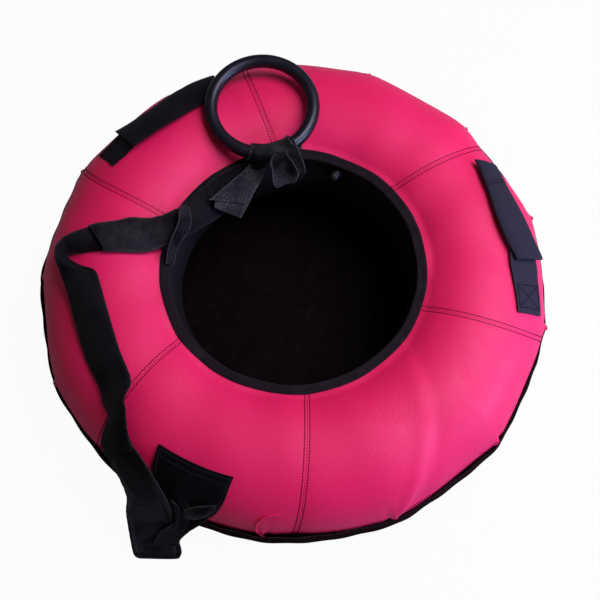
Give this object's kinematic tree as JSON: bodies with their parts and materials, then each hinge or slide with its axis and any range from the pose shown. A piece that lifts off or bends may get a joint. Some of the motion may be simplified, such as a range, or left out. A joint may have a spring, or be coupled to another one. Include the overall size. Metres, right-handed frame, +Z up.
{
  "type": "snow tube",
  "caption": "Inflatable snow tube: rubber inner tube in a pink sewn nylon cover with black base, bound opening, two webbing grab handles, a flat tow strap and a rubber tow ring",
  "frame": {"origin": "on the floor, under the middle of the tube", "axes": "+Z up; the tow anchor and the handle tabs' lower ends are on the -Y side, the tow ring rests on the +Y side; +X is towards the right-hand handle"},
  "size_m": [0.706, 0.7177, 0.2084],
  "materials": {
    "pink_coated_nylon": "coated woven nylon, satin",
    "black_coated_sheet": "coated sheet, satin",
    "black_webbing": "woven webbing, matte",
    "black_rubber": "smooth rubber, matte",
    "ring_rubber": "moulded rubber, semi-gloss",
    "nickel_plate": "nickel plate",
    "brass": "turned brass",
    "black_cap_plastic": "moulded plastic"
  },
  "bodies": {
    "tube": {"inner_tube": "black_rubber", "valve_patch": "black_rubber", "valve_stem": "nickel_plate", "valve_core": "brass", "cover_panel_1": "pink_coated_nylon", "cover_panel_2": "pink_coated_nylon", "cover_panel_3": "pink_coated_nylon", "cover_panel_4": "pink_coated_nylon", "cover_panel_5": "pink_coated_nylon", "cover_panel_6": "pink_coated_nylon", "bottom_panel": "black_coated_sheet", "bottom_rim": "black_coated_sheet", "opening_binding": "black_webbing", "handle_right_tab_front": "black_webbing", "handle_right_tab_rear": "black_webbing", "handle_left_tab_front": "black_webbing", "handle_left_tab_rear": "black_webbing", "tow_anchor": "black_webbing", "tow_strap": "black_webbing", "tow_strap_tail": "black_webbing"},
    "hitch": {"ring_hitch": "black_webbing"},
    "ring": {"tow_ring": "ring_rubber"},
    "handle_right": {"handle_right_strap": "black_webbing", "handle_right_grip": "black_webbing"},
    "handle_left": {"handle_left_strap": "black_webbing", "handle_left_grip": "black_webbing"},
    "cap_seal": {"valve_cap_seal": "black_rubber"},
    "cap": {"valve_cap": "black_cap_plastic"},
    "pin": {"valve_pin": "brass"}
  },
  "joints": [
    {"name": "ring_lift", "type": "hinge", "parent": "tube", "child": "hitch", "pos_m": [-0.035, 0.148, 0.1685], "axis": [0.9877, 0.1564, 0], "range_deg": [0, 90]},
    {"name": "ring_turn", "type": "hinge", "parent": "hitch", "child": "ring", "pos_m": [-0.0444, 0.2298, 0.187], "axis": [0, -0.0872, 0.9962], "continuous": true},
    {"name": "handle_right_lift", "type": "slide", "parent": "tube", "child": "handle_right", "axis": [0.398, 0.104, 0.9115], "range_m": [0, 0.02]},
    {"name": "handle_left_lift", "type": "slide", "parent": "tube", "child": "handle_left", "axis": [-0.2345, 0.2795, 0.9311], "range_m": [0, 0.02]},
    {"name": "cap_rise", "type": "slide", "parent": "tube", "child": "cap_seal", "axis": [-0.3052, -0.7554, 0.5798], "range_m": [0, 0.004]},
    {"name": "cap_turn", "type": "hinge", "parent": "cap_seal", "child": "cap", "pos_m": [0.057, 0.14108, 0.14414], "axis": [-0.3052, -0.7554, 0.5798], "range_deg": [0, 1815]},
    {"name": "pin_press", "type": "slide", "parent": "tube", "child": "pin", "axis": [0.3052, 0.7554, -0.5798], "range_m": [0, 0.001], "stiffness_N_per_m": 1500, "springref_m": -0.0008}
  ],
  "couplings": [
    {"joint": "cap_turn", "follows": "cap_rise", "rad_per_m": 7915.8}
  ]
}
